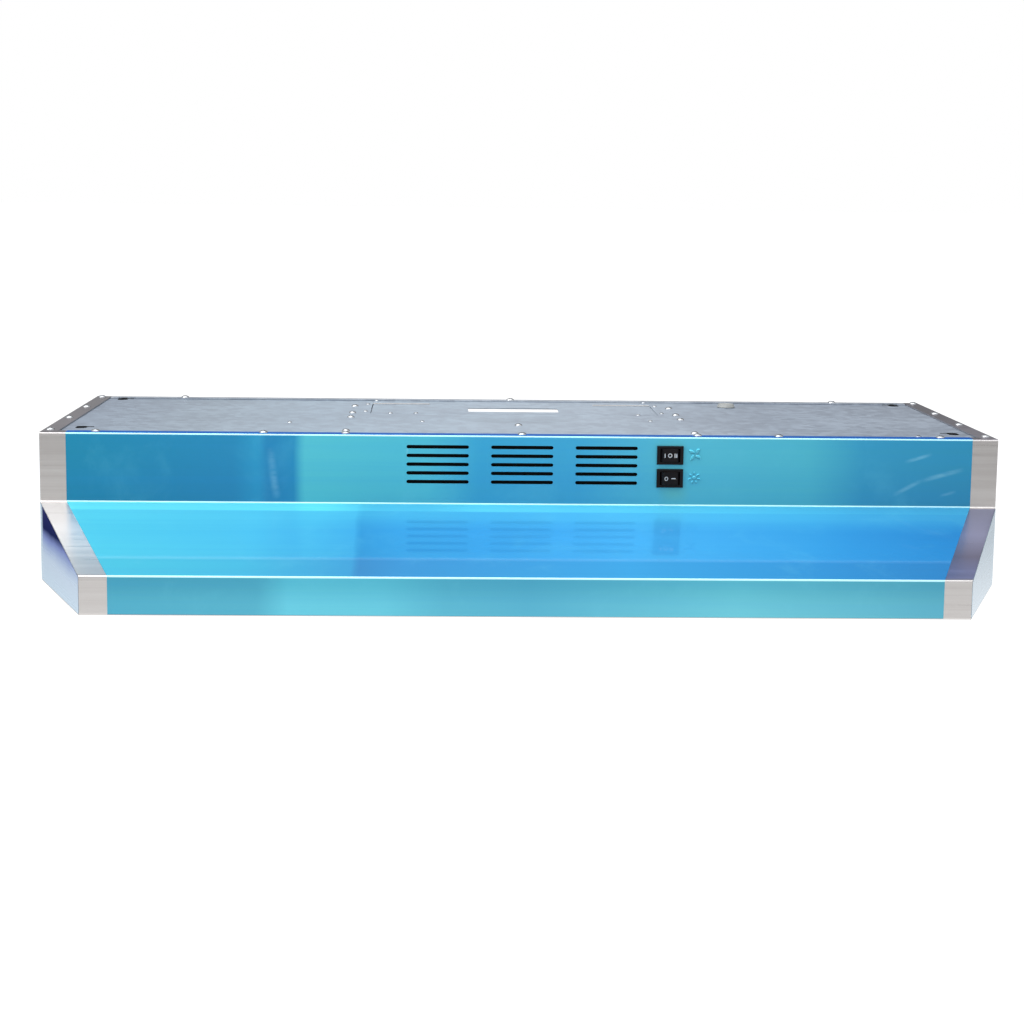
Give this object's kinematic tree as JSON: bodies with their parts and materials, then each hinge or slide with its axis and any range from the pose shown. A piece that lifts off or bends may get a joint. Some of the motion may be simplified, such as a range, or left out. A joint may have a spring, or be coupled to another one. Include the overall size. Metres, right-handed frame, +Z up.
{
  "type": "under cabinet range hood",
  "caption": "Low under-cabinet range hood with a folded steel canopy in blue protective film, rocker switches, mesh filters, lamps and a plenum blower.",
  "frame": {"origin": "centre of the base, in the plane of the folded foot", "axes": "+Z up, -Y out of the front face with the louvres, +X to the right as seen from the front"},
  "size_m": [0.7606, 0.4448, 0.1202],
  "materials": {
    "brushed_steel": "brushed, satin",
    "blue_film": "glossy protective film over brushed steel",
    "clear_blue_film": "pale glossy protective film",
    "galvanised_steel": "matte galvanised",
    "aluminium": "bare",
    "black_plastic": "satin black",
    "white_plastic": "matte",
    "grey_plastic": "matte sheath",
    "rubber": "matte",
    "motor_iron": "laminated iron and varnished copper",
    "zinc_steel": "bright zinc",
    "frosted_lens": "frosted",
    "bronze": "sintered bronze"
  },
  "bodies": {
    "canopy": {"front_panel": "brushed_steel", "bottom_pan": "brushed_steel", "front_filter_rail": "brushed_steel", "rear_filter_rail": "brushed_steel", "left_side_panel": "brushed_steel", "right_side_panel": "brushed_steel", "front_film": "blue_film", "left_side_film": "clear_blue_film", "right_side_film": "clear_blue_film", "top_panel": "galvanised_steel", "duct_knockout": "galvanised_steel", "back_panel": "galvanised_steel", "blower_floor": "galvanised_steel", "motor_shell": "galvanised_steel", "motor_cap": "galvanised_steel", "motor_bracket": "galvanised_steel", "wiring_box": "galvanised_steel", "wiring_box_cover": "galvanised_steel", "capacitor_clip": "galvanised_steel", "left_plenum_wall": "galvanised_steel", "right_plenum_wall": "galvanised_steel", "fan_switch_body": "black_plastic", "light_switch_body": "black_plastic", "inlet_ring": "black_plastic", "louvre_baffle": "black_plastic", "cable_bushing": "white_plastic", "terminal_block": "white_plastic", "capacitor": "white_plastic", "left_lamp_housing": "white_plastic", "right_lamp_housing": "white_plastic", "left_lamp_board": "white_plastic", "right_lamp_board": "white_plastic", "motor_lead": "grey_plastic", "switch_lead": "grey_plastic", "left_lamp_lead": "grey_plastic", "right_lamp_lead": "grey_plastic", "motor_mount_1": "rubber", "motor_mount_2": "rubber", "motor_mount_3": "rubber", "motor_stator": "motor_iron", "left_lamp_lens": "frosted_lens", "right_lamp_lens": "frosted_lens", "lower_bearing": "bronze", "upper_bearing": "bronze"},
    "fan_rocker": {"fan_switch_rocker": "black_plastic"},
    "light_rocker": {"light_switch_rocker": "black_plastic"},
    "blower_wheel": {"impeller": "black_plastic", "hub_nut": "zinc_steel", "motor_shaft": "zinc_steel", "motor_rotor": "motor_iron"},
    "left_filter": {"left_filter_frame": "aluminium", "left_filter_mesh": "aluminium", "left_latch_spring": "zinc_steel"},
    "left_latch": {"left_filter_latch": "black_plastic"},
    "right_filter": {"right_filter_frame": "aluminium", "right_filter_mesh": "aluminium", "right_latch_spring": "zinc_steel"},
    "right_latch": {"right_filter_latch": "black_plastic"}
  },
  "joints": [
    {"name": "fan_rocker_tilt", "type": "hinge", "parent": "canopy", "child": "fan_rocker", "pos_m": [0.1175, -0.07695, 0.1035], "axis": [0, 0, 1], "range_deg": [-9, 9]},
    {"name": "light_rocker_tilt", "type": "hinge", "parent": "canopy", "child": "light_rocker", "pos_m": [0.1175, -0.07695, 0.0851], "axis": [0, 0, 1], "range_deg": [-18, 0]},
    {"name": "wheel_spin", "type": "hinge", "parent": "canopy", "child": "blower_wheel", "pos_m": [0, 0.02, 0.07], "axis": [0, 0, 1], "continuous": true},
    {"name": "left_filter_tilt", "type": "hinge", "parent": "canopy", "child": "left_filter", "pos_m": [-0.155, 0.2005, 0.002], "axis": [1, 0, 0], "range_deg": [0, 60]},
    {"name": "left_latch_slide", "type": "slide", "parent": "left_filter", "child": "left_latch", "axis": [0, 1, 0], "range_m": [0, 0.008], "stiffness_N_per_m": 250, "springref_m": -0.004, "deforming": ["left_latch_spring"]},
    {"name": "right_filter_tilt", "type": "hinge", "parent": "canopy", "child": "right_filter", "pos_m": [0.155, 0.2005, 0.002], "axis": [1, 0, 0], "range_deg": [0, 60]},
    {"name": "right_latch_slide", "type": "slide", "parent": "right_filter", "child": "right_latch", "axis": [0, 1, 0], "range_m": [0, 0.008], "stiffness_N_per_m": 250, "springref_m": -0.004, "deforming": ["right_latch_spring"]}
  ]
}
